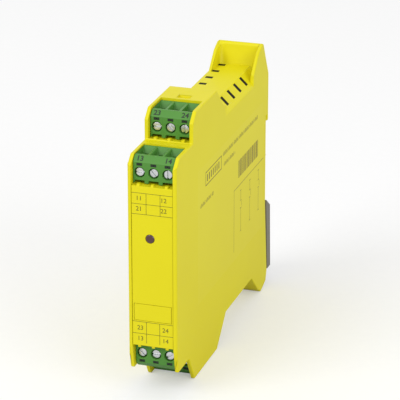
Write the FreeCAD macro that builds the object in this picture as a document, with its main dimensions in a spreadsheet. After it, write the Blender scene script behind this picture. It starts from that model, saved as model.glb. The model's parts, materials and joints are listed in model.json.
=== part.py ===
"""Safety relay for a 35 mm rail: a slim housing with four plug-in screw terminal blocks."""
import FreeCAD, Part
import math
import os
import re
import Sketcher

# Driving dimensions, in millimetres. Depth runs from the front edge (0) to the rear,
# height from the surface that the relay stands on, and width from the middle.
SIZES = [
    ("width", 17.5, "overall width"),
    ("height", 99, "overall height"),
    ("depth", 114.5, "overall depth, front edge to the back of the latch"),
    ("wall", 1.3, "moulded wall thickness"),
    ("gap", 0.3, "clearance between pieces that move"),
    ("fit", 0.15, "clearance between pieces that are snapped together"),
    ("bearing", 0.05, "running clearance round a screw shank"),
    ("edge_round", 0.9, "radius of the upright front edges"),
    # outline of the side walls; insets run from the overall depth, drops from the overall height
    ("front_low", 19.2, "height where the front edge starts"),
    ("bevel_run", 3.7, "depth of the bevel over a front edge"),
    ("bevel_drop", 3.3, "height of that bevel"),
    ("ledge_drop", 10.6, "drop of the lower level's top edge"),
    ("terrace", 10.2, "height from one upper terminal level to the next"),
    ("terrace_depth", 18.2, "depth from one terminal level to the next"),
    ("block_end", 45.4, "depth where the upper block ends"),
    ("roof_start", 53.9, "depth where the vented roof starts"),
    ("roof_drop", 8.3, "drop of the vented roof"),
    ("hump_inset", 24.4, "inset of the start of the hump's side slopes"),
    ("knee_inset", 18.1, "inset of the knee in those slopes"),
    ("knee_drop", 2, "drop of that knee"),
    ("ridge_inset", 13.6, "inset of the hump's ridge"),
    ("ridge_flat", 2.2, "flat along the ridge"),
    ("face_run", 0.4, "how far the hump's face leans back between its side slopes"),
    ("heel_inset", 7.6, "inset of the knee in the hump's rear slope"),
    ("heel_drop", 7.7, "drop of that knee"),
    ("rear_inset", 4.8, "inset of the upper rear wall"),
    ("rear_drop", 13.3, "drop of the top of the upper rear wall"),
    ("rail_inset", 7.7, "inset of the face that lies on the rail"),
    ("rail_centre", 50.5, "height of the rail's middle"),
    ("rail_height", 35, "height of the rail"),
    ("rail_lip", 1, "how far the hook reaches behind the rail's flange"),
    ("rail_groove", 1.4, "width of the groove behind the hook"),
    ("rail_room", 1.5, "room above the rail's edge"),
    ("foot_inset", 4.7, "inset of the rear foot's corner"),
    ("foot_height", 5.8, "height of that corner"),
    ("foot_chamfer_inset", 6, "inset of the chamfer under the corner"),
    ("foot_chamfer_height", 2.1, "height of that chamfer's end"),
    ("foot_tip_inset", 12.6, "inset of the foot's tip"),
    ("foot_nose_inset", 16.8, "inset of the foot's front corner"),
    ("foot_nose_height", 2.7, "height of that corner"),
    ("notch_inset", 24.8, "inset of the top of the notch before the foot"),
    ("belly", 10.2, "height of the underside between heel and foot"),
    ("belly_start", 57, "depth where that underside starts"),
    ("heel", 46.2, "depth of the heel"),
    ("tooth_tip", 19.8, "depth of the rear tooth's tip"),
    ("tooth_root", 13.7, "depth of the rear tooth's root"),
    ("tooth_root_height", 10.2, "height of the rear tooth's root"),
    ("first_tooth", 1.8, "depth of the front tooth's tip"),
    # plug-in terminal blocks
    ("pole_margin", 2.45, "distance from an outer pole to the side wall"),
    ("plug_length", 12, "depth of a plug, without its snout"),
    ("plug_below", 3.8, "plug below its screw axis"),
    ("plug_above", 5.6, "plug above its screw axis"),
    ("face_bevel", 1.9, "bevel that carries the pole numbers"),
    ("upper_face", 2, "depth of the upper plugs' faces behind their level's edge"),
    ("lower_face", 3.2, "depth of the lower plugs' faces"),
    ("screw_drop", 16.6, "drop of the upper front screws"),
    ("lower_screws", 15.35, "height of the lower front screws"),
    ("lower_terrace", 9.7, "height from one lower terminal level to the next"),
    ("well_diameter", 3.8, "screw well"),
    ("well_depth", 2, "depth of a screw well"),
    ("web", 0.9, "web between a screw well and its clamp chamber"),
    ("chamber_half", 2.2, "half height of a clamp chamber"),
    ("entry_start", 3, "depth where a wire entry starts"),
    ("entry_width", 4.1, "width of a wire entry"),
    ("entry_depth", 2.2, "depth of a wire entry's wide mouth"),
    ("entry_slope", 1.7, "depth that a wire entry's sloping end takes up"),
    ("neck_length", 2.6, "length of a wire entry's neck"),
    ("neck_width", 2.4, "width of a wire entry's neck"),
    ("notch_width", 3.6, "width of a coding groove"),
    ("notch_height", 1, "height of a coding groove"),
    ("nub_width", 1, "width of a coding nub"),
    ("nub_height", 0.75, "height of a coding nub over the panel's edge"),
    ("test_width", 1.7, "width of a test slot"),
    ("test_height", 0.8, "height of a test slot"),
    ("test_depth", 0.6, "depth of a test slot"),
    ("test_rise", 2.9, "height of a test slot over the screw axis"),
    ("snout_length", 7, "length of a plug's snout"),
    ("snout_margin", 1.5, "width of a plug's snout beside the outer poles"),
    ("snout_below", 3, "snout below the screw axis"),
    ("snout_above", 1.5, "snout above the screw axis"),
    ("socket_width", 2.2, "width of a pin socket"),
    ("socket_above", 1, "pin socket above the screw axis"),
    # screws, cages and contacts
    ("head_diameter", 2.9, "screw head"),
    ("head_height", 1.4, "thickness of a screw head"),
    ("shank_diameter", 2.2, "screw shank"),
    ("drive_width", 0.6, "width of a screw's slot"),
    ("drive_depth", 0.7, "depth of a screw's slot"),
    ("cage_width", 3.4, "width of a clamp cage"),
    ("cage_below", 1.6, "cage below the screw axis"),
    ("cage_above", 1.9, "cage above the screw axis"),
    ("cage_front", 1.5, "thickness of a cage's threaded wall"),
    ("cage_back", 0.8, "thickness of a cage's clamping wall"),
    ("cage_side", 0.5, "thickness of a cage's side wall"),
    ("cage_travel", 2, "how far a cage moves from closed to open"),
    ("bar_thickness", 0.6, "thickness of a clamping bar"),
    ("strip_thickness", 0.3, "thickness of a contact strip"),
    ("strip_width", 1.8, "width of a contact"),
    ("leaf_rise", 0.5, "height of a contact's leaf over its strip"),
    ("leaf_length", 1.5, "length of that leaf"),
    # pin headers
    ("header_wall", 0.6, "wall of a pin header"),
    ("header_base", 1.5, "base of a pin header"),
    ("pin_side", 1, "side of a square pin"),
    ("pin_length", 6.1, "length of a pin in front of its base"),
    ("pin_tail", 1, "length of a pin behind its base"),
    ("pin_drop", 0.6, "pin axis below the screw axis"),
    # front panel
    ("panel_set", 0.2, "depth of the front panel behind the front edges"),
    ("panel_thickness", 1.6, "thickness of the front panel"),
    ("lamp_diameter", 3.2, "status lamp lens"),
    ("lamp_across", -0.8, "lamp's place across the panel"),
    ("lamp_height", 59.4, "height of the lamp"),
    ("lamp_flange", 0.8, "thickness of the lens's flange"),
    ("lamp_rim", 0.7, "width of the lens's flange"),
    ("lamp_stand", 0.15, "how far the lens stands out of the panel"),
    ("lamp_chamfer", 0.3, "chamfer round the lens"),
    ("marker_low", 28.9, "height of the marker strip's lower edge"),
    ("marker_high", 35.2, "height of the marker strip's upper edge"),
    ("marker_thickness", 0.6, "thickness of the marker strip"),
    ("marker_margin", 0.5, "margin beside the marker strip"),
    # roof vents
    ("chamfer_run", 4.6, "width of the roof's chamfer"),
    ("chamfer_drop", 4.4, "height of the roof's chamfer"),
    ("chamfer_start", 56, "depth where the chamfer starts"),
    ("chamfer_backing", 1.7, "upright thickness of the wall under the chamfer"),
    ("vent_width", 2.2, "width of a vent"),
    ("vent_margin", 6.4, "depth from the chamfer's start to the first vent's near side"),
    ("vent_end_margin", 1.1, "land between the last vent and the hump's face"),
    ("vent_length", 2.8, "length of a vent across the roof"),
    ("vent_depth", 1.8, "depth of a vent in the left edge"),
    ("vent_land", 0.3, "land between the roof's edge and a vent"),
    ("vent_count", 5, "vents in each row"),
    ("slit_margin", 2.1, "distance from the roof's edge to the slit before the vents"),
    ("slit_length", 0.9, "length of that slit across the roof"),
    ("slit_start", 0.7, "depth from the chamfer's start to that slit"),
    ("slit_width", 0.8, "width of that slit"),
    ("pry_start", 33.8, "depth where the pry recess behind the upper plug starts"),
    ("pry_length", 3.5, "depth of the pry recess"),
    ("pry_width", 4.8, "width of the pry recess"),
    ("pry_depth", 0.8, "how deep the pry recess is"),
    # side label
    ("label_front", 24, "depth of the label's front edge"),
    ("label_inset", 11.5, "inset of the label's rear edge"),
    ("label_low", 27, "height of the label's lower edge"),
    ("label_drop", 23, "drop of the label's upper edge"),
    ("label_thickness", 0.15, "thickness of the label"),
    # rail latch and its spring
    ("channel_inset", 12.5, "inset of the start of the latch's channel"),
    ("channel_floor", 4.2, "height of the channel's floor"),
    ("latch_travel", 3.5, "how far the latch is pulled down"),
    ("latch_nose", 1.1, "inset of the latch's nose"),
    ("latch_shoulder", 1.4, "drop of the nose's shoulder below the rail"),
    ("latch_hook", 2.3, "how far the latch reaches behind the rail's lower flange"),
    ("latch_catch", 6.2, "inset of the face that holds that flange"),
    ("latch_foot", 8, "height of the latch's underside in the channel"),
    ("latch_tail", 6.2, "height of the latch's tail"),
    ("latch_tail_inset", 4.1, "inset of the tail's front"),
    ("latch_neck_width", 9.4, "width of the latch where it passes the rear wall"),
    ("latch_flange", 3, "thickness of the latch's inner flange"),
    ("eye_width", 5, "width of the eye for a screwdriver"),
    ("eye_length", 2, "length of that eye"),
    ("eye_height", 5, "height of that eye"),
    ("spring_width", 5, "width of the spring"),
    ("spring_room", 2.5, "depth that the spring takes up"),
    ("spring_legs", 6, "legs of the spring"),
    ("spring_drop", 11, "drop of the top of the spring's slot below the rail"),
    ("spring_thickness", 0.4, "thickness of the spring"),
    # circuit board and what it carries
    ("board_gap", 0.9, "height of the pads that carry the circuit board"),
    ("board_thickness", 1.6, "thickness of the circuit board"),
    ("board_front", 20, "depth of the board's front edge"),
    ("board_inset", 15.5, "inset of the board's rear edge"),
    ("board_margin", 25, "margin below and above the board"),
    ("pad_diameter", 5, "diameter of a board pad"),
    ("pad_inset", 5, "distance from a board edge to a pad"),
    ("relay_length", 28, "length of a relay"),
    ("relay_height", 20, "height of a relay"),
    ("relay_room", 1.4, "room between a relay and the side cover"),
    ("relay_front", 62, "depth where the relays start"),
    ("relay_gap", 3, "gap between the relays"),
    ("capacitor_diameter", 10, "diameter of the capacitor"),
    ("capacitor_room", 1.9, "room between the capacitor and the side cover"),
    ("capacitor_depth", 45, "depth of the capacitor's axis"),
]

doc = FreeCAD.newDocument("safety_relay")
sheet = doc.addObject("Spreadsheet::Sheet", "Sizes")
for row, (alias, value, meaning) in enumerate(SIZES, start=1):
    sheet.set(f"A{row}", meaning)
    sheet.set(f"B{row}", str(value))
    sheet.setAlias(f"B{row}", alias)
doc.recompute()


def tie(item, path, formula):
    """Bind a property to a formula written in the sheet's words."""
    item.setExpression(path, re.sub(r"[A-Za-z_]\w*", r"Sizes.\g<0>", formula))


def polygon(*corners):
    """A closed outline; each corner is a pair of formulas measured from the sketch's origin."""
    def draw(sketch):
        first = sketch.GeometryCount
        count = len(corners)
        start = [FreeCAD.Vector(math.cos(math.tau * i / count), math.sin(math.tau * i / count), 0)
                 for i in range(count)]
        sketch.addGeometry([Part.LineSegment(start[i], start[(i + 1) % count]) for i in range(count)])
        sketch.addConstraint([Sketcher.Constraint("Coincident", first + i, 2, first + (i + 1) % count, 1)
                              for i in range(count)])
        for i, (across, up) in enumerate(corners):
            for kind, formula, value in (("DistanceX", across, start[i].x), ("DistanceY", up, start[i].y)):
                index = sketch.addConstraint(Sketcher.Constraint(kind, -1, 1, first + i, 1, value))
                tie(sketch, f"Constraints[{index}]", formula)
    return draw


def rectangle(left, right, low, high):
    """A rectangle between four formulas."""
    return polygon((left, low), (right, low), (right, high), (left, high))


def circle(across, up, diameter):
    """A circle whose centre and diameter are formulas."""
    def draw(sketch):
        index = sketch.addGeometry(Part.Circle(FreeCAD.Vector(1, 1, 0), FreeCAD.Vector(0, 0, 1), 1))
        for constraint, formula in ((Sketcher.Constraint("DistanceX", -1, 1, index, 3, 1), across),
                                    (Sketcher.Constraint("DistanceY", -1, 1, index, 3, 1), up),
                                    (Sketcher.Constraint("Diameter", index, 2), diameter)):
            tie(sketch, f"Constraints[{sketch.addConstraint(constraint)}]", formula)
    return draw


def new_body(name, across="0", deep="0", up="0", turn=0):
    """A body placed in the relay's frame; turn is its angle about the front-to-rear axis."""
    body = doc.addObject("PartDesign::Body", name)
    body.Label = name
    body.Placement = FreeCAD.Placement(FreeCAD.Vector(), FreeCAD.Rotation(FreeCAD.Vector(0, 1, 0), turn))
    tie(body, "Placement.Base.x", across)
    tie(body, "Placement.Base.y", f"{deep} - depth / 2")
    tie(body, "Placement.Base.z", up)
    return body


def new_sketch(body, plane, start, outlines):
    """A sketch on one of the body's origin planes, moved along that plane's axis."""
    sketch = body.newObject("Sketcher::SketchObject", f"{body.Name}_sketch")
    support = next(item for item in body.Origin.OriginFeatures if item.Role == f"{plane}_Plane")
    sketch.AttachmentSupport = [(support, "")]
    sketch.MapMode = "FlatFace"
    tie(sketch, "AttachmentOffset.Base.z", f"-({start})" if plane == "XZ" else start)
    for outline in outlines:
        outline(sketch)
    return sketch


def add(body, plane, start, length, *outlines):
    """Pad the outlines along the plane's axis, from start over length."""
    sketch = new_sketch(body, plane, start, outlines)
    pad = body.newObject("PartDesign::Pad", f"{body.Name}_pad")
    pad.Profile = sketch
    pad.Reversed = plane == "XZ"
    tie(pad, "Length", length)
    return pad


def cut(body, plane, start, length, *outlines):
    """Pocket the outlines along the plane's axis, from start over length."""
    sketch = new_sketch(body, plane, start, outlines)
    pocket = body.newObject("PartDesign::Pocket", f"{body.Name}_pocket")
    pocket.Profile = sketch
    pocket.Reversed = plane != "XZ"
    tie(pocket, "Length", length)
    return pocket


def repeat(body, feature, axis, pitch, count):
    """Repeat a feature in a row along one of the body's origin axes."""
    pattern = body.newObject("PartDesign::LinearPattern", f"{body.Name}_row")
    pattern.Originals = [feature]
    direction = next(item for item in body.Origin.OriginFeatures if item.Role == f"{axis}_Axis")
    pattern.Direction = (direction, [""])
    pattern.Mode = "Spacing"
    tie(pattern, "Offset", pitch)
    tie(pattern, "Occurrences", count)
    body.Tip = pattern
    return pattern


def soften_edges(body, kind, size, chosen):
    """Round or chamfer the edges of the body's latest shape that a test picks."""
    doc.recompute()
    base = body.Tip
    names = [f"Edge{i}" for i, edge in enumerate(base.Shape.Edges, start=1) if chosen(edge)]
    feature = body.newObject(f"PartDesign::{kind}", f"{body.Name}_soft")
    feature.Base = (base, names)
    tie(feature, "Radius" if kind == "Fillet" else "Size", size)
    return feature


# Formulas that several pieces share
HALF = "width / 2"
INSIDE = "(width / 2 - wall)"
RAIL_LOW = "(rail_centre - rail_height / 2)"
RAIL_HIGH = "(rail_centre + rail_height / 2)"
RAIL_PLANE = "(depth - rail_inset)"
ROOF = "(height - roof_drop)"
HUMP = "(depth - hump_inset)"
RIDGE = "(depth - ridge_inset)"
HUMP_FACE = f"({RIDGE} - face_run)"
PANEL_BACK = "panel_set + panel_thickness"
SCREWS = "(height - screw_drop)"
FLOOR = f"({SCREWS} - plug_below - gap)"
CEILING = "(lower_screws + plug_below + gap)"
UPPER_END = "(upper_face + plug_length + gap)"
LOWER_END = "(lower_face + plug_length + gap)"
CHAMBER_START = "(well_depth + web)"
WINDOW = "(bar_thickness + cage_travel + 2 * gap)"
CAGE_LENGTH = f"(cage_front + {WINDOW} + cage_back)"
CHAMBER_LENGTH = f"({CAGE_LENGTH} + cage_travel + 2 * gap)"
BAR_START = f"({CHAMBER_START} + gap + cage_front + cage_travel + gap)"
HEADER_START = "(plug_length + gap + wall)"
SNOUT_END = "(plug_length + snout_length)"
BOARD_FACE = f"(board_gap + board_thickness - {INSIDE})"
LABEL = ("label_front", "depth - label_inset", "label_low", "height - label_drop")
BOARD_ROOM = f"(2 * {INSIDE} - board_gap - board_thickness)"
PITCH = f"({INSIDE} - pole_margin)"
PLUG_WIDTH = f"(2 * {INSIDE} - 2 * fit)"
SNOUT_WIDTH = f"(2 * {PITCH} + 2 * snout_margin)"
POLES = (-1, 0, 1)

# Each plug: its level, whether it is turned upside down, and how its screws' slots stand
PLUGS = {
    "top_front": (0, False, (90, -40, 0)),
    "top_rear": (1, False, (85, -45, 10)),
    "bottom_front": (0, True, (-45, 90, 60)),
    "bottom_rear": (1, True, (20, 80, -30)),
}


def plug_frame(name):
    """Depth, height and turn of a plug's own frame: its face, at the screws' axes."""
    level, upside_down, _ = PLUGS[name]
    if upside_down:
        return f"lower_face + {level} * terrace_depth", f"lower_screws - {level} * lower_terrace", 180
    return f"upper_face + {level} * terrace_depth", f"{SCREWS} + {level} * terrace", 0


def side_view(*hump):
    """Outline of the relay from the side, with the given corners for the front of its hump."""
    return polygon(
        ("0", "front_low"),
        ("0", "height - ledge_drop - bevel_drop"),
        ("bevel_run", "height - ledge_drop"),
        ("terrace_depth", "height - ledge_drop"),
        ("terrace_depth", "height - bevel_drop"),
        ("terrace_depth + bevel_run", "height"),
        ("block_end", "height"),
        ("roof_start", ROOF),
        *hump,
        (RIDGE, "height"),
        (f"{RIDGE} + ridge_flat", "height"),
        ("depth - heel_inset", "height - heel_drop"),
        ("depth - rear_inset", "height - rear_drop"),
        ("depth - rear_inset", f"{RAIL_HIGH} - rail_lip"),
        (RAIL_PLANE, f"{RAIL_HIGH} - rail_lip"),
        (RAIL_PLANE, f"{RAIL_LOW} + rail_lip"),
        ("depth - foot_inset", "foot_height"),
        ("depth - foot_chamfer_inset", "foot_chamfer_height"),
        ("depth - foot_tip_inset", "0"),
        ("depth - foot_nose_inset", "foot_nose_height"),
        ("depth - notch_inset", "belly"),
        ("belly_start", "belly"),
        ("heel", "0"),
        ("tooth_tip", "0"),
        ("tooth_root", "tooth_root_height"),
        ("first_tooth", "tooth_root_height"),
    )


SIDE_WALL = side_view((HUMP, ROOF), ("depth - knee_inset", "height - knee_drop"))
GROOVE = rectangle(RAIL_PLANE, f"{RAIL_PLANE} + rail_groove", f"{RAIL_HIGH} - rail_lip - gap",
                   f"{RAIL_HIGH} + rail_room")
CHAMFER = polygon((f"{HALF} - chamfer_run", ROOF), (HALF, f"{ROOF} - chamfer_drop"),
                  (f"{HALF} + wall", f"{ROOF} - chamfer_drop"), (f"{HALF} + wall", f"{ROOF} + wall"),
                  (f"{HALF} - chamfer_run", f"{ROOF} + wall"))


def poles(outline, *formulas):
    """The same outline once at every pole; its left and right formulas are measured from the pole."""
    return [outline(f"{pole} * {PITCH} + {formulas[0]}", f"{pole} * {PITCH} + {formulas[1]}", *formulas[2:])
            for pole in POLES]


def centred(width):
    """Left and right formulas of a width about the middle."""
    return f"-({width}) / 2", f"({width}) / 2"


def front_uprights(body, radius, side):
    """Round the upright edge at the front of the wall on one side."""
    reach = sheet.get("width") / 2 * side

    def chosen(edge):
        ends = [vertex.Point for vertex in edge.Vertexes]
        upright = len(ends) == 2 and abs(ends[0].z - ends[1].z) > sheet.get("height") / 4
        return upright and all(abs(point.y) < 0.001 and abs(point.x - reach) < 0.001 for point in ends)
    soften_edges(body, "Fillet", radius, chosen)


def make_housing():
    """Left wall, roof, floor and rear of the relay in one moulding, open to the right."""
    body = new_body("housing")
    add(body, "YZ", f"-{HALF}", "width - wall", side_view((HUMP_FACE, ROOF)))
    doc.recompute()
    block = body.Tip
    open_face = max(range(len(block.Shape.Faces)), key=lambda i: block.Shape.Faces[i].CenterOfMass.x)
    shell = body.newObject("PartDesign::Thickness", "housing_shell")
    shell.Base = (block, [f"Face{open_face + 1}"])
    shell.Join = 1
    shell.Reversed = True
    tie(shell, "Value", "wall")
    add(body, "YZ", f"-{HALF}", "wall", SIDE_WALL)

    # Walls round the plugs' bays, the latch's channel and the hook
    channel_top = f"({RAIL_LOW} + latch_hook + gap)"
    channel_start = "(depth - channel_inset)"
    upper = rectangle("0", f"{UPPER_END} + wall", f"{FLOOR} - wall", "height - ledge_drop")
    upper_rear = rectangle("terrace_depth", f"terrace_depth + {UPPER_END} + wall",
                           f"{FLOOR} + terrace - wall", "height")
    lower = polygon(("0", "0"), ("0", f"{CEILING} + wall"), (f"{LOWER_END} + wall", f"{CEILING} + wall"),
                    (f"{LOWER_END} + wall", f"{CEILING} - lower_terrace + wall"),
                    (f"terrace_depth + {LOWER_END} + wall", f"{CEILING} - lower_terrace + wall"),
                    (f"terrace_depth + {LOWER_END} + wall", "0"))
    channel = rectangle(f"{channel_start} - wall", RAIL_PLANE, "foot_chamfer_height", f"{channel_top} + wall")
    hook = rectangle(f"{RAIL_PLANE} - wall", "depth - rear_inset", f"{RAIL_HIGH} - rail_lip",
                     f"{RAIL_HIGH} + rail_room + wall")
    add(body, "YZ", f"-{INSIDE}", f"2 * {INSIDE}", upper, upper_rear, lower, channel, hook)

    # The bays themselves, the mouth that the front panel fills, and the channel
    for bay in (rectangle("-wall", UPPER_END, FLOOR, "height"),
                rectangle("terrace_depth - wall", f"terrace_depth + {UPPER_END}", f"{FLOOR} + terrace",
                          "height + wall"),
                rectangle("-wall", LOWER_END, "-wall", CEILING),
                rectangle("-wall", f"terrace_depth + {LOWER_END}", "-wall", f"{CEILING} - lower_terrace"),
                rectangle("-wall", PANEL_BACK, CEILING, FLOOR),
                rectangle(channel_start, f"{channel_start} + latch_flange + 2 * gap", "channel_floor",
                          channel_top)):
        cut(body, "YZ", f"-{INSIDE}", f"2 * {INSIDE} + wall", bay)
    cut(body, "XZ", channel_start, "depth",
        rectangle(*centred("latch_neck_width + 2 * gap"), "channel_floor", channel_top))
    cut(body, "YZ", f"-{HALF}", "width", GROOVE)

    # A mouth in each bay's rear wall for the plug's snout
    for name in PLUGS:
        deep, up, turn = plug_frame(name)
        low, high = ("snout_below", "snout_above") if turn == 0 else ("snout_above", "snout_below")
        cut(body, "XZ", f"{deep} + plug_length", "wall + 2 * gap",
            rectangle(*centred(f"{SNOUT_WIDTH} + 2 * gap"), f"{up} - {low} - gap", f"{up} + {high} + gap"))

    # The chamfer along the roof, with a row of vents in it and one in the left edge
    edge = f"({HALF} - chamfer_run)"
    slope = "chamfer_drop / chamfer_run"
    length = f"{HUMP_FACE} - chamfer_start"
    add(body, "XZ", "chamfer_start - wall", f"{length} + 2 * wall",
        polygon((edge, f"{ROOF} - wall / 2"), (INSIDE, f"{ROOF} - wall / 2"),
                (INSIDE, f"{ROOF} - chamfer_backing - ({INSIDE} - {edge}) * {slope}"),
                (edge, f"{ROOF} - chamfer_backing")))
    cut(body, "XZ", "chamfer_start", length, CHAMFER)
    first = "(chamfer_start + vent_margin)"
    pitch = f"({HUMP_FACE} - vent_end_margin - vent_width - {first}) / (vent_count - 0.5)"
    vent = cut(body, "XY", f"{ROOF} - chamfer_drop - chamfer_backing - wall",
               "chamfer_drop + chamfer_backing + 2 * wall",
               rectangle(f"{edge} + vent_land", f"{edge} + vent_land + vent_length", first,
                         f"{first} + vent_width"))
    repeat(body, vent, "Y", pitch, "vent_count")
    cut(body, "XY", f"{ROOF} - chamfer_drop - chamfer_backing", "chamfer_drop + chamfer_backing",
        rectangle(f"{edge} + slit_margin", f"{edge} + slit_margin + slit_length",
                  "chamfer_start + slit_start", "chamfer_start + slit_start + slit_width"))
    left = cut(body, "XY", f"{ROOF} - vent_depth", "vent_depth + wall",
               rectangle(f"wall - {HALF}", f"wall + vent_length - {HALF}", f"{first} + {pitch} / 2",
                         f"{first} + {pitch} / 2 + vent_width"))
    repeat(body, left, "Y", pitch, "vent_count")
    cut(body, "XY", "height - pry_depth", "pry_depth",
        rectangle(*centred("pry_width"), "pry_start", "pry_start + pry_length"))

    # Nubs before the upper plug, and pads that carry the circuit board
    add(body, "XZ", "terrace_depth + panel_set", "panel_thickness - panel_set",
        *poles(rectangle, *centred("nub_width"), f"{FLOOR} + terrace - wall / 2",
               f"{FLOOR} + terrace + nub_height"))
    add(body, "YZ", f"-{INSIDE}", "board_gap",
        *[circle(deep, up, "pad_diameter")
          for deep in ("board_front + pad_inset", "depth - board_inset - pad_inset")
          for up in ("board_margin + pad_inset", "height - board_margin - pad_inset")])
    front_uprights(body, "edge_round", -1)


def make_side_cover():
    """Right wall of the relay, which closes the housing and carries the label."""
    body = new_body("side_cover")
    add(body, "YZ", INSIDE, "wall", SIDE_WALL)
    cut(body, "YZ", INSIDE, "wall", GROOVE)
    cut(body, "XZ", "chamfer_start", f"{HUMP} - chamfer_start", CHAMFER)
    cut(body, "YZ", f"{HALF} - label_thickness", "label_thickness", rectangle(*LABEL))
    front_uprights(body, "edge_round", 1)


def make_side_label():
    """Printed film in the side cover's recess."""
    body = new_body("side_label")
    add(body, "YZ", f"{HALF} - label_thickness", "label_thickness", rectangle(*LABEL))


def make_front_panel():
    """Snapped-in panel between the terminal levels, with coding nubs along both ends."""
    body = new_body("front_panel")
    low, high = f"{CEILING} + fit", f"{FLOOR} - fit"
    add(body, "XZ", "panel_set", "panel_thickness",
        rectangle(f"fit - {INSIDE}", f"{INSIDE} - fit", low, high))
    add(body, "XZ", "2 * panel_set", "panel_thickness - panel_set",
        *poles(rectangle, *centred("nub_width"), high, f"{high} + nub_height"),
        *poles(rectangle, *centred("nub_width"), f"{low} - nub_height", low))
    cut(body, "XZ", "0", "depth", circle("lamp_across", "lamp_height", "lamp_diameter + 2 * bearing"))
    cut(body, "XZ", "panel_set", "marker_thickness",
        rectangle(f"fit + marker_margin - {INSIDE}", f"{INSIDE} - fit - marker_margin",
                  "marker_low", "marker_high"))


def make_marker_strip():
    """Blank marker strip let into the front panel."""
    body = new_body("marker_strip")
    add(body, "XZ", "panel_set", "marker_thickness",
        rectangle(f"2 * fit + marker_margin - {INSIDE}", f"{INSIDE} - 2 * fit - marker_margin",
                  "marker_low + fit", "marker_high - fit"))


def make_lamp_lens():
    """Lens of the status lamp, chamfered, with a flange behind the panel."""
    body = new_body("lamp_lens")
    add(body, "XZ", PANEL_BACK, "lamp_flange",
        circle("lamp_across", "lamp_height", "lamp_diameter + 2 * lamp_rim"))
    add(body, "XZ", "panel_set - lamp_stand", f"{PANEL_BACK} - panel_set + lamp_stand",
        circle("lamp_across", "lamp_height", "lamp_diameter"))
    front = sheet.get("panel_set") - sheet.get("lamp_stand")
    soften_edges(body, "Chamfer", "lamp_chamfer",
                 lambda edge: all(abs(vertex.Point.y - front) < 0.001 for vertex in edge.Vertexes))


def make_latch():
    """Sliding catch that grips the rail's lower flange, with an eye for a screwdriver."""
    body = new_body("rail_latch")
    front = "(depth - channel_inset + gap)"
    tail = "depth - latch_tail_inset"
    catch = "depth - latch_catch"
    seat = f"{RAIL_LOW} - gap"
    add(body, "YZ", "gap - " + INSIDE, f"2 * ({INSIDE} - gap)",
        rectangle(front, f"{front} + latch_flange - gap", "latch_foot", seat))
    add(body, "YZ", "-latch_neck_width / 2", "latch_neck_width",
        rectangle(f"{front} + latch_flange - gap", f"{tail} + wall", "latch_foot", seat))
    add(body, "YZ", f"-{HALF}", "width",
        polygon((tail, "latch_tail"), ("depth", "latch_tail"),
                ("depth - latch_nose", f"{RAIL_LOW} - latch_shoulder"),
                (catch, f"{RAIL_LOW} + latch_hook"), (catch, seat)))
    cut(body, "XY", "latch_foot", f"{RAIL_LOW} - spring_drop - latch_foot",
        rectangle(*centred("spring_width + 2 * gap"), front, f"{front} + spring_room + gap"))
    cut(body, "YZ", "-eye_width / 2", "eye_width",
        rectangle(f"{tail} + wall", f"{tail} + wall + eye_length", "latch_tail - wall",
                  "latch_tail + eye_height"))


def make_latch_spring():
    """Bent strip of spring steel that pushes the latch up."""
    body = new_body("latch_spring")
    legs = int(sheet.get("spring_legs"))
    near = "depth - channel_inset + gap"
    far = f"{near} + spring_room - spring_thickness"
    rise = f"({RAIL_LOW} - spring_drop - channel_floor) / spring_legs"
    turns = [(near if i % 2 == 0 else far, f"channel_floor + {i} * {rise}") for i in range(legs + 1)]
    back = [(f"{deep} + spring_thickness", up) for deep, up in reversed(turns)]
    add(body, "YZ", "-spring_width / 2", "spring_width", polygon(*turns, *back))


def make_board():
    """Circuit board on its pads."""
    body = new_body("circuit_board")
    add(body, "YZ", f"board_gap - {INSIDE}", "board_thickness",
        rectangle("board_front", "depth - board_inset", "board_margin", "height - board_margin"))


def make_relay(name, row):
    """Sealed safety relay soldered to the board; row 0 is the lower one."""
    body = new_body(name)
    low = f"height / 2 - relay_gap / 2 - relay_height + {row} * (relay_height + relay_gap)"
    add(body, "YZ", BOARD_FACE, f"{BOARD_ROOM} - relay_room",
        rectangle("relay_front", "relay_front + relay_length", low, f"{low} + relay_height"))


def make_capacitor():
    """Electrolytic capacitor standing on the board."""
    body = new_body("capacitor")
    add(body, "YZ", BOARD_FACE, f"{BOARD_ROOM} - capacitor_room",
        circle("capacitor_depth", "height / 2", "capacitor_diameter"))


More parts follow.
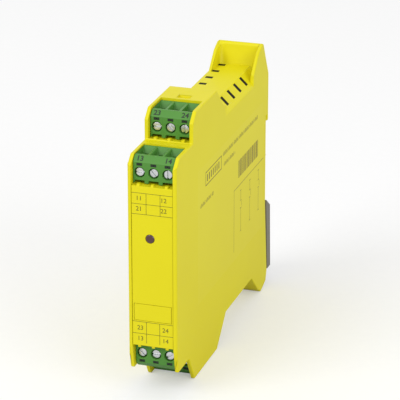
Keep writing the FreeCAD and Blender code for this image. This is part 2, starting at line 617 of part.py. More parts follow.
def make_plug(name):
    """Green terminal block: screw wells, clamp chambers, wire entries and a snout with sockets."""
    deep, up, turn = plug_frame(name)
    body = new_body(f"plug_{name}", "0", deep, up, turn)
    add(body, "YZ", f"-{PLUG_WIDTH} / 2", PLUG_WIDTH,
        polygon(("0", "-plug_below"), ("0", "plug_above - face_bevel"), ("face_bevel", "plug_above"),
                ("plug_length", "plug_above"), ("plug_length", "-plug_below")))
    add(body, "XZ", "plug_length", "snout_length",
        rectangle(*centred(SNOUT_WIDTH), "-snout_below", "snout_above"))
    cut(body, "XZ", "0", "well_depth", *[circle(f"{pole} * {PITCH}", "0", "well_diameter") for pole in POLES])
    cut(body, "XZ", "0", f"{CHAMBER_START} + gap",
        *[circle(f"{pole} * {PITCH}", "0", "shank_diameter + 2 * bearing") for pole in POLES])
    cut(body, "XZ", CHAMBER_START, CHAMBER_LENGTH,
        *poles(rectangle, *centred("cage_width + 2 * gap"), "-chamber_half", "chamber_half"))
    cut(body, "XZ", f"{CHAMBER_START} + {CHAMBER_LENGTH} - gap", "depth",
        *poles(rectangle, *centred("socket_width"), "-chamber_half", "socket_above"))
    mouth = polygon(("entry_start", "plug_above"), ("entry_start + entry_slope", "plug_above - entry_depth"),
                    (f"{BAR_START} + neck_length", "plug_above - entry_depth"),
                    (f"{BAR_START} + neck_length + entry_slope", "plug_above"))
    for pole in POLES:
        cut(body, "YZ", f"{pole} * {PITCH} - entry_width / 2", "entry_width", mouth)
    cut(body, "XY", "chamber_half - gap", "plug_above",
        *poles(rectangle, *centred("neck_width"), BAR_START, f"{BAR_START} + neck_length"))
    cut(body, "XZ", "0", "plug_length",
        *poles(rectangle, *centred("notch_width"), "-plug_below", "notch_height - plug_below"))
    cut(body, "XZ", "0", "test_depth",
        *poles(rectangle, *centred("test_width"), "test_rise - test_height / 2",
               "test_rise + test_height / 2"))


def make_contacts(name):
    """The plug's three contacts: a clamping bar, a strip along the chamber's floor and a leaf."""
    deep, up, turn = plug_frame(name)
    body = new_body(f"contacts_{name}", "0", deep, up, turn)
    body.AllowCompound = True
    floor = "-chamber_half"
    leaf_end = f"{SNOUT_END} - socket_width"
    strip = f"{floor} + strip_thickness"
    profile = polygon((BAR_START, floor), (leaf_end, floor), (leaf_end, f"{strip} + leaf_rise"),
                      (f"{leaf_end} - leaf_length", f"{strip} + leaf_rise"),
                      (f"{leaf_end} - leaf_length", strip), (f"{BAR_START} + bar_thickness", strip),
                      (f"{BAR_START} + bar_thickness", "cage_above"), (BAR_START, "cage_above"))
    for pole in POLES:
        add(body, "YZ", f"{pole} * {PITCH} - strip_width / 2", "strip_width", profile)


def make_header(name):
    """Pin header behind a bay's rear wall; the plug's snout slides into it."""
    deep, up, turn = plug_frame(name)
    body = new_body(f"header_{name}", "0", deep, up, turn)
    inner = [*centred(f"{SNOUT_WIDTH} + 2 * gap"), "-snout_below - gap", "snout_above + gap"]
    outer = [*centred(f"{SNOUT_WIDTH} + 2 * gap + 2 * header_wall"), f"{inner[2]} - header_wall",
             f"{inner[3]} + header_wall"]
    end = f"{SNOUT_END} + gap"
    add(body, "XZ", HEADER_START, f"{end} + header_base - {HEADER_START}", rectangle(*outer))
    cut(body, "XZ", HEADER_START, f"{end} - {HEADER_START}", rectangle(*inner))
    cut(body, "XZ", "0", "depth",
        *poles(rectangle, *centred("pin_side"), "-pin_drop - pin_side / 2", "pin_side / 2 - pin_drop"))


def make_pins(name):
    """The header's three square pins."""
    deep, up, turn = plug_frame(name)
    body = new_body(f"pins_{name}", "0", deep, up, turn)
    body.AllowCompound = True
    for pin in poles(rectangle, *centred("pin_side"), "-pin_drop - pin_side / 2", "pin_side / 2 - pin_drop"):
        add(body, "XZ", f"{SNOUT_END} + gap - pin_length", "pin_length + header_base + pin_tail", pin)


def make_screw(name, number):
    """Slotted terminal screw: its head sits in the well and its shank runs through the cage."""
    deep, up, turn = plug_frame(name)
    angle = PLUGS[name][2][number]
    body = new_body(f"screw_{name}_{number + 1}", f"{POLES[number]} * {PITCH}", deep, up, turn + angle)
    top = "well_depth - bearing - head_height"
    add(body, "XZ", top, "head_height", circle("0", "0", "head_diameter"))
    add(body, "XZ", "well_depth - bearing", f"{BAR_START} - gap - well_depth + bearing",
        circle("0", "0", "shank_diameter"))
    cut(body, "XZ", top, "drive_depth", rectangle(*centred("drive_width"), *centred("2 * head_diameter")))


def make_cage(name, number):
    """Clamp cage: the screw draws it forward and it presses the wire against the bar."""
    deep, up, turn = plug_frame(name)
    body = new_body(f"cage_{name}_{number + 1}", f"{POLES[number]} * {PITCH}", deep, up, turn)
    start = f"({CHAMBER_START} + gap)"
    add(body, "XZ", start, CAGE_LENGTH, rectangle(*centred("cage_width"), "-cage_below", "cage_above"))
    cut(body, "XY", "-cage_below", "cage_below + cage_above",
        rectangle(*centred("cage_width - 2 * cage_side"), f"{start} + cage_front",
                  f"{start} + cage_front + {WINDOW}"))
    cut(body, "XZ", start, "cage_front", circle("0", "0", "shank_diameter + 2 * bearing"))


make_housing()
make_side_cover()
make_side_label()
make_front_panel()
make_marker_strip()
make_lamp_lens()
make_latch()
make_latch_spring()
make_board()
make_relay("relay_low", 0)
make_relay("relay_high", 1)
make_capacitor()
for plug in PLUGS:
    make_plug(plug)
    make_contacts(plug)
    make_header(plug)
    make_pins(plug)
    for pole in range(len(POLES)):
        make_screw(plug, pole)
        make_cage(plug, pole)
doc.recompute()

bodies = [item for item in doc.Objects if item.TypeId == "PartDesign::Body"]
failed = [item.Label for item in doc.Objects if {"Invalid", "Error"} & set(item.State)]
failed += [body.Label for body in bodies if body.Shape.isNull() or not body.Shape.isValid()]
if failed:
    raise SystemExit(f"These did not build: {failed}")

os.makedirs("parts", exist_ok=True)
for body in bodies:
    body.Shape.exportStep(f"parts/{body.Label}.step")
    shape = body.Shape
    print(f"{body.Label}: {len(shape.Solids)} solid(s), {shape.Volume:.1f} mm3, {shape.BoundBox}")
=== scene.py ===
"""Looks for the safety relay: a slim yellow rail housing with four green screw terminal plugs."""
import json
import math

import bpy
from mathutils import Matrix, Vector

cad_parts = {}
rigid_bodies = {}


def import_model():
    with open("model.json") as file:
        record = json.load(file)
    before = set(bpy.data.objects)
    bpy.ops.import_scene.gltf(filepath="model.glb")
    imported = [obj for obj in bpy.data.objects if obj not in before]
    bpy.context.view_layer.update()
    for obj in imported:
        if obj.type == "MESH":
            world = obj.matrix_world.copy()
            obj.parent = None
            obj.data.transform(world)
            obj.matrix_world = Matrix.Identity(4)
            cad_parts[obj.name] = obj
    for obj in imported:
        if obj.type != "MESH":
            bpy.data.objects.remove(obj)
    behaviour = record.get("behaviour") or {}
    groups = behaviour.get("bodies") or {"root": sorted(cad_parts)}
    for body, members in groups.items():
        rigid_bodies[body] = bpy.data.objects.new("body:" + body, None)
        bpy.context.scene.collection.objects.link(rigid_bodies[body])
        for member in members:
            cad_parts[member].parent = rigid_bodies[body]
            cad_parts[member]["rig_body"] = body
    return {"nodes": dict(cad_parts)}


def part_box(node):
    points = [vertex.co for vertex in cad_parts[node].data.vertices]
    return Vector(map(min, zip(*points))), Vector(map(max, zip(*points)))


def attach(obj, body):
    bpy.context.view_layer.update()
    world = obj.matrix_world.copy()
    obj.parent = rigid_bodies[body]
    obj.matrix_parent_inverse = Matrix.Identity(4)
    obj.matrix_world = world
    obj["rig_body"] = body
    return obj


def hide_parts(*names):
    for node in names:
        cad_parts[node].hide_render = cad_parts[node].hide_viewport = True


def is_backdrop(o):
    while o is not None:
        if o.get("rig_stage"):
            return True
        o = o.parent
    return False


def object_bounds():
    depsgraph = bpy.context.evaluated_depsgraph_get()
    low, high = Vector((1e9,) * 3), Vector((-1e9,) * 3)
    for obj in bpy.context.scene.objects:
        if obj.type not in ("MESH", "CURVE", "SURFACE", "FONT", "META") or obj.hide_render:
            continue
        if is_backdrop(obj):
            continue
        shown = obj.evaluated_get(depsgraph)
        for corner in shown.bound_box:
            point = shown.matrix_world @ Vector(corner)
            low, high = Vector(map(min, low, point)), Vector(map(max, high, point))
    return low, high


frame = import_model()
cad_low, cad_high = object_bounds()
bpy.ops.object.select_all(action="DESELECT")


# ---------------------------------------------------------------------------------------------
# Housing and side cover: two polyamide mouldings, a deep tray with roof vents and the wall that
# closes it. The mould is spark-eroded, so the faces have a fine satin grain, and every outer
# corner of the outline has a small radius, larger round the hump.

MM = 0.001
YELLOW = "#E5DC14"
YELLOW_DEEP = "#DCCF0E"
GRAIN = 0.25 * MM  # about 0.05 mm on a real moulding, drawn coarser so that it shows
GRAIN_DEPTH = 0.02 * MM
CLOUD = 55.6 * MM
RIDGE_RADIUS = 1.05 * MM
RIDGE_SHARE = 0.95
RIM_SHARE = 0.42
HUMP_RIM_SHARE = 0.7
HUMP_INNER_SHARE = 0.5
HUMP_CORNER_SHARE = 1.8
HUMP_START = 32
HUMP_LEVEL = 90
HUMP_FACE = (43, 44)


def linear(code):
    """An sRGB hex colour as linear RGBA."""
    channels = [int(code[i:i + 2], 16) / 255 for i in (1, 3, 5)]
    return [c / 12.92 if c <= 0.04045 else ((c + 0.055) / 1.055) ** 2.4 for c in channels] + [1]


def put(tree, kind, sockets=None, **settings):
    """Add a node with its settings; a socket takes a value or another node's output."""
    made = tree.nodes.new(kind)
    for name, value in settings.items():
        setattr(made, name, value)
    for name, value in (sockets or {}).items():
        if isinstance(value, bpy.types.NodeSocket):
            tree.links.new(value, made.inputs[name])
        else:
            made.inputs[name].default_value = value
    return made


def new_material(name):
    """An empty node material with its output node."""
    material = bpy.data.materials.new(name)
    material.use_nodes = True
    material.node_tree.nodes.clear()
    output = put(material.node_tree, "ShaderNodeOutputMaterial")
    return material, material.node_tree, output


def moulded_plastic(name, colour, deep, roughness, grain=GRAIN, bump=0.12, cloud=CLOUD):
    """Moulded plastic: even colour, faintly cloudy, and a fine grain that breaks up its gloss."""
    material, tree, output = new_material(name)
    place = put(tree, "ShaderNodeTexCoord").outputs["Object"]
    patch = put(tree, "ShaderNodeTexNoise", {"Vector": place, "Scale": 1 / cloud, "Detail": 3})
    tint = put(tree, "ShaderNodeMix", {"Factor": patch.outputs["Fac"]}, data_type="RGBA")
    tint.inputs[6].default_value = linear(colour)
    tint.inputs[7].default_value = linear(deep)
    fine = put(tree, "ShaderNodeTexNoise", {"Vector": place, "Scale": 1 / grain, "Detail": 2})
    dull = put(tree, "ShaderNodeMapRange",
               {"Value": fine.outputs["Fac"],
                "To Min": roughness - 0.05, "To Max": roughness + 0.07})
    relief = put(tree, "ShaderNodeBump",
                 {"Height": fine.outputs["Fac"], "Strength": bump, "Distance": GRAIN_DEPTH})
    surface = put(tree, "ShaderNodeBsdfPrincipled",
                  {"Base Color": tint.outputs[2], "Roughness": dull.outputs["Result"],
                   "Normal": relief.outputs["Normal"], "IOR": 1.53, "Specular IOR Level": 0.25})
    tree.links.new(surface.outputs["BSDF"], output.inputs["Surface"])
    return material


def only(piece):
    """Select one object and make it active."""
    bpy.ops.object.select_all(action="DESELECT")
    piece.select_set(True)
    bpy.context.view_layer.objects.active = piece


def merged_copy(name, node):
    """A copy of a CAD node with its loose triangles merged, and paired into quads where flat."""
    mesh = frame["nodes"][node].data.copy()
    mesh.materials.clear()
    piece = bpy.data.objects.new(name, mesh)
    bpy.context.scene.collection.objects.link(piece)
    only(piece)
    bpy.ops.object.mode_set(mode="EDIT")
    bpy.ops.mesh.select_all(action="SELECT")
    bpy.ops.mesh.remove_doubles(threshold=0.002 * MM)
    bpy.ops.mesh.tris_convert_to_quads(face_threshold=math.radians(1),
                                       shape_threshold=math.radians(180))
    bpy.ops.object.mode_set(mode="OBJECT")
    return piece


def softened(piece, radius, share, segments=3, sharpness=25):
    """Round the sharp edges: share(a, b) gives an edge's part of the radius from its ends in mm."""
    mesh = piece.data
    only(piece)
    bpy.ops.object.mode_set(mode="EDIT")
    bpy.ops.mesh.select_mode(type="EDGE")
    bpy.ops.mesh.select_all(action="DESELECT")
    bpy.ops.mesh.edges_select_sharp(sharpness=math.radians(sharpness))
    bpy.ops.object.mode_set(mode="OBJECT")
    corners = [Vector(vertex.co) / MM for vertex in mesh.vertices]
    shares = [share(*[corners[i] for i in edge.vertices]) if edge.select else 0
              for edge in mesh.edges]
    mesh.attributes.new("bevel_weight_edge", "FLOAT", "EDGE").data.foreach_set("value", shares)
    bevel = piece.modifiers.new("rounding", "BEVEL")
    bevel.width = radius
    bevel.segments = segments
    bevel.limit_method = "WEIGHT"
    bevel.use_clamp_overlap = False
    bevel.loop_slide = False
    bpy.ops.object.modifier_apply(modifier=bevel.name)
    bpy.ops.object.shade_smooth_by_angle(angle=math.radians(30))
    flat = piece.modifiers.new("flat_faces", "WEIGHTED_NORMAL")
    flat.keep_sharp = True
    flat.weight = 100
    bpy.ops.object.modifier_apply(modifier=flat.name)


def dressed(piece, node, material):
    """Let a piece stand for a CAD node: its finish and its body."""
    piece.data.materials.append(material)
    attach(piece, frame["nodes"][node]["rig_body"])
    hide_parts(node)


def outline_corners(piece, side):
    """The corners, as y and z in mm, that lie in the outer face at x = side."""
    return {(round(v.co.y / MM, 2), round(v.co.z / MM, 2)) for v in piece.data.vertices
            if abs(v.co.x / MM - side) < 0.01}


yellow = moulded_plastic("yellow_polyamide", YELLOW, YELLOW_DEEP, 0.46)
ridge_height = cad_high.z / MM
for name, node in (("housing_moulding", "housing"), ("cover_moulding", "side_cover")):
    moulding = merged_copy(name, node)
    low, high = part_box(node)
    outer = low.x / MM if node == "housing" else high.x / MM
    outline = outline_corners(moulding, outer)

    def outline_share(a, b):
        """The share on the hump's inner corner, the ridge and the rims, and none inside."""
        front, rear = sorted((a.y, b.y))
        on_hump = front > HUMP_START and min(a.z, b.z) > HUMP_LEVEL
        upright = abs(a.z - b.z) > 5 and HUMP_FACE[0] < front and rear < HUMP_FACE[1]
        if a.x < 0 and on_hump and upright:
            return HUMP_CORNER_SHARE
        if any((round(p.y, 2), round(p.z, 2)) not in outline for p in (a, b)):
            return 0
        if abs(a.x - b.x) > 0.5:
            return RIDGE_SHARE if on_hump and a.z > ridge_height - 0.1 else RIM_SHARE
        if abs(a.x - outer) < 0.01:
            return HUMP_RIM_SHARE if on_hump else RIM_SHARE
        return HUMP_INNER_SHARE if on_hump and rear < HUMP_FACE[1] - 0.3 else 0

    softened(moulding, RIDGE_RADIUS, outline_share)
    dressed(moulding, node, yellow)


# ---------------------------------------------------------------------------------------------
# Front panel and marker strip: a separate plate snapped in between the terminal levels, of the
# same yellow polyamide, with coding nubs along both ends and a blank strip let into it.

PLATE_RADIUS = 0.08 * MM


def all_edges(a, b):
    """The whole radius on every sharp edge."""
    return 1


for name, node in (("panel_plate", "front_panel"), ("marker_plate", "marker_strip")):
    plate = merged_copy(name, node)
    softened(plate, PLATE_RADIUS, all_edges, segments=2)
    dressed(plate, node, yellow)


# ---------------------------------------------------------------------------------------------
# Terminal plugs: glass-filled green polyamide, a little glossier than the housing, with wells
# for the screws and sloping wire entries. A dark block in each test slot is painted shade that
# stands for the shadow deep in the slot, and plain pole numbers are printed on the bevels of the
# upper plugs.

GREEN = "#56903C"
GREEN_DEEP = "#4B8536"
PLUGS = ("top_front", "top_rear", "bottom_front", "bottom_rear")
PLUG_INK_AND_SLOT_SHADE = "#0C1F0C"
INK_HEIGHT = 0.03 * MM
INK_WEAR = 0.667 * MM
PLUG_RADIUS = 0.18 * MM
BEVEL_HEIGHT = 5.6 * MM
BEVEL_MIDDLE = Vector((0, 0.95, 4.65)) * MM
POLES = (-5 * MM, 0, 5 * MM)
FIGURE = 2.6 * MM
BOLD = 0.06 * MM
# Painted shade in the test slots: the size, spacing, height and forward offset of its dark blocks
SLOT_SHADE_SIZE = Vector((0.95, 0.3, 1)) * MM
SLOT_SHADE_OFFSETS = (-0.55 * MM, 0.55 * MM)
SLOT_SHADE_LEVEL = 2.7 * MM
SLOT_SHADE_PROUD = 0.01 * MM


def long_edges(a, b):
    """The whole radius on edges over 2.5 mm long, a third on shorter ones."""
    return 1 if (a - b).length > 2.5 else 0.33


def printed_ink(name, colour, roughness=0.5):
    """Pad-printing ink: a nearly flat colour that pales a little where it is worn thin."""
    material, tree, output = new_material(name)
    place = put(tree, "ShaderNodeTexCoord").outputs["Object"]
    wear = put(tree, "ShaderNodeTexNoise", {"Vector": place, "Scale": 1 / INK_WEAR, "Detail": 2})
    shade = put(tree, "ShaderNodeMix", {"Factor": wear.outputs["Fac"]}, data_type="RGBA")
    shade.inputs[6].default_value = linear(colour)
    shade.inputs[7].default_value = [c * 1.25 for c in linear(colour)[:3]] + [1]
    surface = put(tree, "ShaderNodeBsdfPrincipled",
                  {"Base Color": shade.outputs[2], "Roughness": roughness, "IOR": 1.5})
    tree.links.new(surface.outputs["BSDF"], output.inputs["Surface"])
    return material


def stroke(centre, size):
    """A thin block at its size and place: a stroke of ink or a block of painted shade."""
    bpy.ops.object.select_all(action="DESELECT")
    bpy.ops.mesh.primitive_cube_add(size=1, location=centre, scale=size)
    return bpy.context.object


def number(text, size, place, tilt, weight=0):
    """A plain number as a thin mesh, tilted up about X and put in place."""
    bpy.ops.object.select_all(action="DESELECT")
    bpy.ops.object.text_add(location=(0, 0, 0))
    figure = bpy.context.object
    figure.data.body = text
    figure.data.size = size
    figure.data.offset = weight
    figure.data.align_x = "CENTER"
    figure.data.align_y = "CENTER"
    figure.data.extrude = INK_HEIGHT
    figure.data.resolution_u = 3
    bpy.ops.object.convert(target="MESH")
    figure = bpy.context.object
    figure.data.transform(Matrix.Translation(place) @ Matrix.Rotation(tilt, 4, "X"))
    return figure


def joined(name, parts, material, body):
    """Join parts into one piece at the origin, give it its finish and let it ride on its body."""
    bpy.ops.object.select_all(action="DESELECT")
    for part in parts:
        part.select_set(True)
    bpy.context.view_layer.objects.active = parts[0]
    bpy.ops.object.transform_apply(location=True, rotation=True, scale=True)
    bpy.ops.object.join()
    piece = bpy.context.object
    piece.name = name
    piece.data.name = name
    piece.data.materials.clear()
    piece.data.materials.append(material)
    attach(piece, body)
    return piece


green = moulded_plastic("green_polyamide", GREEN, GREEN_DEEP, 0.40, cloud=16.7 * MM)
# One dark green colour for the printed pole numbers and for the painted shade in the test slots
plug_ink_and_slot_shade = printed_ink("dark_green_ink_and_slot_shade", PLUG_INK_AND_SLOT_SHADE)
for plug in PLUGS:
    block = merged_copy(f"terminal_block_{plug}", f"plug_{plug}")
    softened(block, PLUG_RADIUS, long_edges, segments=2)
    dressed(block, f"plug_{plug}", green)
for plug, figures in (("top_front", ("13", "14")), ("top_rear", ("23", "24"))):
    low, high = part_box(f"plug_{plug}")
    bevel = Vector((0, low.y, high.z - BEVEL_HEIGHT)) + BEVEL_MIDDLE
    figures = [number(text, FIGURE, bevel + Vector((pole, 0, 0)), math.radians(45), BOLD)
               for text, pole in zip(figures, (POLES[0], POLES[2]))]
    joined(f"pole_numbers_{plug}", figures, plug_ink_and_slot_shade, f"plug_{plug}")
# Painted shade: a dark block fills the mouth of each test slot and stands for the shadow in it
for plug in PLUGS:
    low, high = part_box(f"plug_{plug}")
    level = high.z - SLOT_SHADE_LEVEL if "top" in plug else low.z + SLOT_SHADE_LEVEL
    slot_shade_blocks = [stroke((pole + side, low.y + SLOT_SHADE_SIZE.y / 2 - SLOT_SHADE_PROUD, level), SLOT_SHADE_SIZE)
             for pole in POLES for side in SLOT_SHADE_OFFSETS]
    joined(f"painted_slot_shade_{plug}", slot_shade_blocks, plug_ink_and_slot_shade, f"plug_{plug}")


# ---------------------------------------------------------------------------------------------
# Screws, clamp cages, contacts and pins: zinc-plated steel and tinned copper. The slotted heads
# are turned and sit in the plugs' wells.

STEEL = "#E4E6E8"
TIN = "#C4C0B6"
BLOTCH = 1.111 * MM
SCREW_RADIUS = 0.12 * MM


def plated_metal(name, colour, roughness, relief=0.08):
    """Plated metal: bright, with faint blotches in its gloss where the plating is uneven."""
    material, tree, output = new_material(name)
    place = put(tree, "ShaderNodeTexCoord").outputs["Object"]
    blotch = put(tree, "ShaderNodeTexNoise", {"Vector": place, "Scale": 1 / BLOTCH, "Detail": 2})
    dull = put(tree, "ShaderNodeMapRange",
               {"Value": blotch.outputs["Fac"],
                "To Min": roughness - 0.08, "To Max": roughness + 0.1})
    uneven = put(tree, "ShaderNodeBump",
                 {"Height": blotch.outputs["Fac"], "Strength": relief, "Distance": GRAIN_DEPTH})
    surface = put(tree, "ShaderNodeBsdfPrincipled",
                  {"Base Color": linear(colour), "Metallic": 1.0,
                   "Roughness": dull.outputs["Result"], "Normal": uneven.outputs["Normal"]})
    tree.links.new(surface.outputs["BSDF"], output.inputs["Surface"])
    return material


def finish_node(node, material):
    """Give a CAD node its finish."""
    mesh = frame["nodes"][node].data
    mesh.materials.clear()
    mesh.materials.append(material)


zinc = plated_metal("zinc_plated_steel", STEEL, 0.36)
tin = plated_metal("tinned_copper", TIN, 0.3)
for plug in PLUGS:
    finish_node(f"contacts_{plug}", tin)
    finish_node(f"pins_{plug}", tin)
    for pole in (1, 2, 3):
        finish_node(f"cage_{plug}_{pole}", zinc)
        screw = merged_copy(f"terminal_screw_{plug}_{pole}", f"screw_{plug}_{pole}")
        softened(screw, SCREW_RADIUS, all_edges, segments=2, sharpness=40)
        dressed(screw, f"screw_{plug}_{pole}", zinc)


# ---------------------------------------------------------------------------------------------
# Inside: the plugs' pin headers of green polyamide, the circuit board under its solder mask, two
# relays in moulded black cases and a capacitor in a printed sleeve, all soldered to the board. A
# pulled plug lets its header be seen.

MASK_WEAVE = 0.5 * MM

header_green = moulded_plastic("header_polyamide", "#3F7A3A", "#396F35", 0.45)
solder_mask = moulded_plastic("solder_mask", "#1E5B30", "#194E29", 0.3, grain=MASK_WEAVE)
black_case = moulded_plastic("black_case", "#24262A", "#1D1F22", 0.4)
sleeve = moulded_plastic("sleeved_can", "#3A4654", "#34404C", 0.35)
for plug in PLUGS:
    finish_node(f"header_{plug}", header_green)
finish_node("circuit_board", solder_mask)
finish_node("relay_low", black_case)
finish_node("relay_high", black_case)
finish_node("capacitor", sleeve)


# ---------------------------------------------------------------------------------------------
# Painted vent shade: near-black, coarse-grained blocks set from inside into the roof's vents, just
# under the roof. They stand for the shadow inside the housing and make the vents look black. The
# last vent on the right is moulded shut.

VENT_SHADE = "#140F08"
VENT_SHADE_DEEP = "#080604"
VENT_SHADE_GRAIN = 0.35 * MM
VENT_SHADE_DEPTH = 0.06 * MM
SHUT_DEPTH = 0.03 * MM
BLOCK_HEIGHT = 1.2 * MM
BLOCK_RADIUS = 0.1 * MM
VENTS = 5
VENT_WIDTH = 2.2 * MM
VENT_LENGTH = 2.8 * MM
VENT_PITCH = 7.733 * MM
FIRST_VENT = 5.15 * MM
ROOF = 90.7 * MM
ROOF_EDGE = 4.15 * MM
ROOF_SLOPE = 4.4 / 4.6
RIGHT_VENTS = ROOF_EDGE + 0.3 * MM
LEFT_VENTS = -7.45 * MM


def vent_block(name, left, near, slope, depth):
    """A block that fills a vent up to a depth under the roof, its top parallel to the roof."""
    middle = (left + VENT_LENGTH / 2, near + VENT_WIDTH / 2, ROOF - depth - BLOCK_HEIGHT / 2)
    bpy.ops.object.select_all(action="DESELECT")
    bpy.ops.mesh.primitive_cube_add(size=1, location=middle,
                                    scale=(VENT_LENGTH, VENT_WIDTH, BLOCK_HEIGHT))
    block = bpy.context.object
    block.name = name
    bpy.ops.object.transform_apply(location=True, rotation=True, scale=True)
    for vertex in block.data.vertices:
        vertex.co.z -= slope * (vertex.co.x - ROOF_EDGE)
    bevel = block.modifiers.new("rounding", "BEVEL")
    bevel.width = BLOCK_RADIUS
    bevel.segments = 2
    bpy.ops.object.modifier_apply(modifier=bevel.name)
    return block


# Painted shade: the near-black blocks in the vents stand for the shadow inside the housing
vent_shade = moulded_plastic("painted_vent_shade", VENT_SHADE, VENT_SHADE_DEEP, 0.8, grain=VENT_SHADE_GRAIN, bump=0.5)
blocks = [vent_block(f"vent_shade_right_{i}", RIGHT_VENTS, FIRST_VENT + i * VENT_PITCH,
                     ROOF_SLOPE, VENT_SHADE_DEPTH) for i in range(VENTS - 1)]
blocks += [vent_block(f"vent_shade_left_{i}", LEFT_VENTS, FIRST_VENT + (i + 0.5) * VENT_PITCH,
                      0, VENT_SHADE_DEPTH) for i in range(VENTS)]
joined("painted_vent_shade_blocks", blocks, vent_shade, "housing")
shut = vent_block("shut_vent", RIGHT_VENTS, FIRST_VENT + (VENTS - 1) * VENT_PITCH,
                  ROOF_SLOPE, SHUT_DEPTH)
joined("shut_vent", [shut], yellow, "housing")


# ---------------------------------------------------------------------------------------------
# Rail latch and its spring: a grey polyamide slide behind the foot, pushed up by a strip of
# spring steel.

LATCH = "#837F72"
LATCH_DEEP = "#77736A"
LATCH_RADIUS = 0.12 * MM
SPRING = "#B8BABC"

grey = moulded_plastic("grey_polyamide", LATCH, LATCH_DEEP, 0.5, cloud=25 * MM)
latch = merged_copy("latch_slide", "rail_latch")
softened(latch, LATCH_RADIUS, all_edges, segments=2)
dressed(latch, "rail_latch", grey)
finish_node("latch_spring", plated_metal("spring_steel", SPRING, 0.28))


# ---------------------------------------------------------------------------------------------
# Status lamp: a low lens of dark tinted polycarbonate, unlit. It is moulded with a glossy skin
# and pushed into the front panel from behind.

LENS = "#44211E"
LENS_PAINTED_SHEEN = "#74524A"
LENS_RADIUS = 0.1 * MM
SWIRL = 1.4286 * MM


def tinted_lens():
    """Tinted polycarbonate: a deep colour under a clear gloss, with painted sheen paling it edge
    on.
    """
    material, tree, output = new_material("tinted_polycarbonate")
    place = put(tree, "ShaderNodeTexCoord").outputs["Object"]
    swirl = put(tree, "ShaderNodeTexNoise", {"Vector": place, "Scale": 1 / SWIRL, "Detail": 2})
    # Painted sheen: Layer Weight's Facing mixes the lens colour to a paler one where it is seen
    # edge on
    painted_sheen = put(tree, "ShaderNodeLayerWeight", {"Blend": 0.35})
    tint = put(tree, "ShaderNodeMix", {"Factor": painted_sheen.outputs["Facing"]}, data_type="RGBA")
    tint.inputs[6].default_value = linear(LENS)
    tint.inputs[7].default_value = linear(LENS_PAINTED_SHEEN)
    relief = put(tree, "ShaderNodeBump",
                 {"Height": swirl.outputs["Fac"], "Strength": 0.03, "Distance": GRAIN_DEPTH})
    surface = put(tree, "ShaderNodeBsdfPrincipled",
                  {"Base Color": tint.outputs[2], "Roughness": 0.12, "IOR": 1.58,
                   "Normal": relief.outputs["Normal"], "Coat Weight": 0.5, "Coat Roughness": 0.05})
    tree.links.new(surface.outputs["BSDF"], output.inputs["Surface"])
    return material


lens = merged_copy("lamp_window", "lamp_lens")
softened(lens, LENS_RADIUS, all_edges, segments=3)
dressed(lens, "lamp_lens", tinted_lens())


# ---------------------------------------------------------------------------------------------
# Print on the front panel: thin olive rules of two pin tables with plain numbers. It is pad
# printed, so it stands only a few hundredths of a millimetre above the face.

INK = "#5E5A12"
RULE = 0.14 * MM
FIGURE_SMALL = 2.3 * MM
UPPER_ROWS = (75.7 * MM, 71.8 * MM, 68.1 * MM)
UPPER_COLUMNS = (-2.07 * MM, 2.9 * MM)
LOWER_ROWS = (28.5 * MM, 24.1 * MM)
LOWER_COLUMNS = (-2.3 * MM, 2.5 * MM)
LOWER_END = 20.6 * MM
panel_low, panel_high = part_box("front_panel")


def rule_across(z):
    """A level rule from side to side of the panel."""
    return stroke(((panel_low.x + panel_high.x) / 2, panel_low.y, z),
                  (panel_high.x - panel_low.x, 2 * INK_HEIGHT, RULE))


def rule_up(x, low, high):
    """An upright rule on the panel."""
    return stroke((x, panel_low.y, (low + high) / 2), (RULE, 2 * INK_HEIGHT, high - low))


olive = printed_ink("olive_ink", INK)
front_print = [rule_across(z) for z in UPPER_ROWS + LOWER_ROWS]
front_print += [rule_up(x, UPPER_ROWS[-1], UPPER_ROWS[0]) for x in UPPER_COLUMNS]
front_print += [rule_up(x, LOWER_END, LOWER_ROWS[0]) for x in LOWER_COLUMNS]
for text, x, z in (("11", -4.65, 73.8), ("12", 4.12, 73.8), ("21", -4.65, 70), ("22", 4.12, 70),
                   ("23", -4.5, 26.2), ("24", 4.56, 26.2), ("13", -4.5, 22.2), ("14", 4.56, 22.2)):
    place = Vector((x * MM, panel_low.y, z * MM))
    front_print.append(number(text, FIGURE_SMALL, place, math.radians(90)))
joined("front_print", front_print, olive, "housing")


# ---------------------------------------------------------------------------------------------
# Side label: a thin printed film that is stuck in the cover's recess, in the housing's yellow. Its
# print is generic: lines of plain strokes, a bar pattern that holds no code and a wiring figure.

SIDE_INK = 0.012 * MM
INK_OVERLAP = 0.002 * MM
FILM_LAP = 0.5 * MM
SIDE_PRINT = "#6E5F14"
# From here on the print's sizes are in mm: back from the front, and up from the floor
FINE = 0.2
THIN = 0.35
LINES = ((52.6, 96, 72.1, 1.5), (53.8, 68, 68.1, 1.4), (26.5, 41.9, 61.8, 1.4))
FRAME = (32.3, 50.85, 68, 73.15)
CORNER_STEP = 0.05
BARS = (71.4, 57.2, 63.8)
FIGURE_EDGE = 66.2
FIGURE_TOP = 53.9
FIGURE_END = 107
FIGURE_BOTTOM = 30
CONTACTS = (74.5, 86, 97)
label_low, label_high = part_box("side_label")
film = moulded_plastic("printed_film", YELLOW, YELLOW_DEEP, 0.42, bump=0.06)
label = merged_copy("label_film", "side_label")
middle = (label_low + label_high) / 2
for vertex in label.data.vertices:
    vertex.co.x -= SIDE_INK if vertex.co.x > label_high.x - 0.01 * MM else 0
    vertex.co.y += math.copysign(FILM_LAP, vertex.co.y - middle.y)
    vertex.co.z += math.copysign(FILM_LAP, vertex.co.z - middle.z)
dressed(label, "side_label", film)


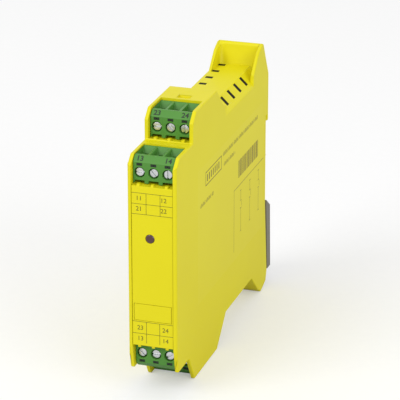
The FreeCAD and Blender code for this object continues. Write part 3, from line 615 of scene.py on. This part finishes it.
def side_stroke(start, end, low, high):
    """Ink on the label between two distances from the front and two heights, in mm."""
    middle = (label_high.x - SIDE_INK, cad_low.y + (start + end) / 2 * MM, (low + high) / 2 * MM)
    return stroke(middle,
                  (2 * SIDE_INK - INK_OVERLAP, (end - start) * MM, (high - low) * MM))


def printed_line(start, end, low, height, pitch=0.72, group=9):
    """A line of upright strokes in groups, in place of lettering, in mm."""
    return [side_stroke(start + i * pitch, start + i * pitch + 0.3,
                        low, low + height * (1 if i % 3 else 0.7))
            for i in range(int((end - start) / pitch)) if i % group != group - 1]


brown = printed_ink("brown_ink", SIDE_PRINT)
side_print = [ink for line in LINES for ink in printed_line(*line)]

# A frame with seven broad strokes
front, rear, foot, top = FRAME
side_print += [side_stroke(front, rear - CORNER_STEP, z, z + THIN) for z in (foot, top - THIN)]
side_print += [side_stroke(y, y + THIN, foot, top - CORNER_STEP) for y in (front, rear - THIN)]
side_print += [side_stroke(34 + 2.2 * i, 34.9 + 2.2 * i, 69.3, 71.9) for i in range(7)]

# The bar pattern
bar, foot, top = BARS
for i in range(26):
    thick = (0.3, 0.62, 0.3, 0.9, 0.45)[i % 5]
    side_print.append(side_stroke(bar, bar + thick, foot, top))
    bar += thick + (0.45, 0.6, 0.35)[i % 3]

# The wiring figure: two rules and three contacts, each an upright line with a gap and end ticks
side_print.append(side_stroke(FIGURE_EDGE - FINE, FIGURE_END, FIGURE_TOP, FIGURE_TOP + FINE))
side_print.append(side_stroke(FIGURE_EDGE, FIGURE_EDGE + FINE, FIGURE_BOTTOM, FIGURE_TOP + 0.1))
for y in CONTACTS:
    side_print += [side_stroke(y, y + FINE, 47.4, 51.5), side_stroke(y, y + FINE, 35.4, 44.6)]
    side_print += [side_stroke(y - 0.7, y + 0.9, z, z + FINE) for z in (51.3, 47.4, 44.5, 35.4)]
    side_print.append(side_stroke(y + 1.1, y + 1.3, 45, 47.2))
joined("side_print", side_print, brown, "housing")


# ---------------------------------------------------------------------------------------------
# Studio: a floor of matt white card, shown a little brighter than it is so that it runs into the
# white surround and still holds the shadow. A broad soft box lights the front from the left, and a
# weaker one fills the right side.

AIM = Vector((0.99, -7.25, 55.62)) * MM
AZIMUTH, ELEVATION = math.radians(17.81), math.radians(21.01)
DISTANCE = 876.1 * MM
SENSOR = 36
LENS_LENGTH = 221.16
CLIP_START = 10 * MM
FLOOR_SIDE = 8
CARD_FIBRE = 3.333 * MM  # far finer on real card, drawn coarser so that it shows
CARD_GLOW = 0.33
SURROUND = 0.74
WHITE = "#FFFFFF"

bpy.ops.object.select_all(action="DESELECT")
bpy.ops.mesh.primitive_plane_add(size=FLOOR_SIDE, location=(0, 0, 0))
floor = bpy.context.object
floor.name = "floor"
material, tree, output = new_material("matt_white_card")
place = put(tree, "ShaderNodeTexCoord").outputs["Object"]
speck = put(tree, "ShaderNodeTexNoise", {"Vector": place, "Scale": 1 / CARD_FIBRE})
tone = put(tree, "ShaderNodeMapRange",
           {"Value": speck.outputs["Fac"], "To Min": 0.95, "To Max": 0.98})
matt = put(tree, "ShaderNodeBsdfDiffuse", {"Color": tone.outputs["Result"]})
seen = put(tree, "ShaderNodeLightPath")
glow = put(tree, "ShaderNodeEmission",
           {"Color": linear(WHITE), "Strength": seen.outputs["Is Camera Ray"]})
blend = put(tree, "ShaderNodeMixShader", {"Fac": CARD_GLOW})
tree.links.new(matt.outputs["BSDF"], blend.inputs[1])
tree.links.new(glow.outputs["Emission"], blend.inputs[2])
tree.links.new(blend.outputs["Shader"], output.inputs["Surface"])
floor.data.materials.append(material)
floor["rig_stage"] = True


def soft_light(name, place, side, watts):
    """A square soft box aimed at the relay."""
    bpy.ops.object.light_add(type="AREA", location=place)
    lamp = bpy.context.object
    lamp.name = name
    lamp.data.shape = "SQUARE"
    lamp.data.size = side
    lamp.data.energy = watts
    lamp.rotation_euler = (AIM - Vector(place)).to_track_quat("-Z", "Y").to_euler()


soft_light("key", (-0.7, -1.1, 1.1), side=0.9, watts=10.2)
soft_light("fill", (1.2, -0.7, 0.7), side=1, watts=6.9)

world = bpy.data.worlds.new("surround")
bpy.context.scene.world = world
world.use_nodes = True
tree = world.node_tree
tree.nodes.clear()
paths = put(tree, "ShaderNodeLightPath")
seen = put(tree, "ShaderNodeMath",
           {0: paths.outputs["Is Camera Ray"], 1: paths.outputs["Is Glossy Ray"]},
           operation="MAXIMUM")
seen = put(tree, "ShaderNodeMath",
           {0: seen.outputs["Value"], 1: paths.outputs["Is Transmission Ray"]},
           operation="MAXIMUM")
level = put(tree, "ShaderNodeMapRange",
            {"Value": seen.outputs["Value"], "To Min": SURROUND, "To Max": 1.0})
sky = put(tree, "ShaderNodeBackground",
          {"Color": linear(WHITE), "Strength": level.outputs["Result"]})
put(tree, "ShaderNodeOutputWorld", {"Surface": sky.outputs["Background"]})

bpy.ops.object.camera_add()
camera = bpy.context.object
camera.name = "camera"
back = Vector((math.sin(AZIMUTH) * math.cos(ELEVATION), -math.cos(AZIMUTH) * math.cos(ELEVATION),
               math.sin(ELEVATION)))
camera.location = AIM + back * DISTANCE
camera.rotation_euler = (-back).to_track_quat("-Z", "Y").to_euler()
camera.data.sensor_width = SENSOR
camera.data.lens = LENS_LENGTH
camera.data.clip_start = CLIP_START
bpy.context.scene.camera = camera
bpy.context.scene.view_settings.view_transform = "Standard"

low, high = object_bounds()
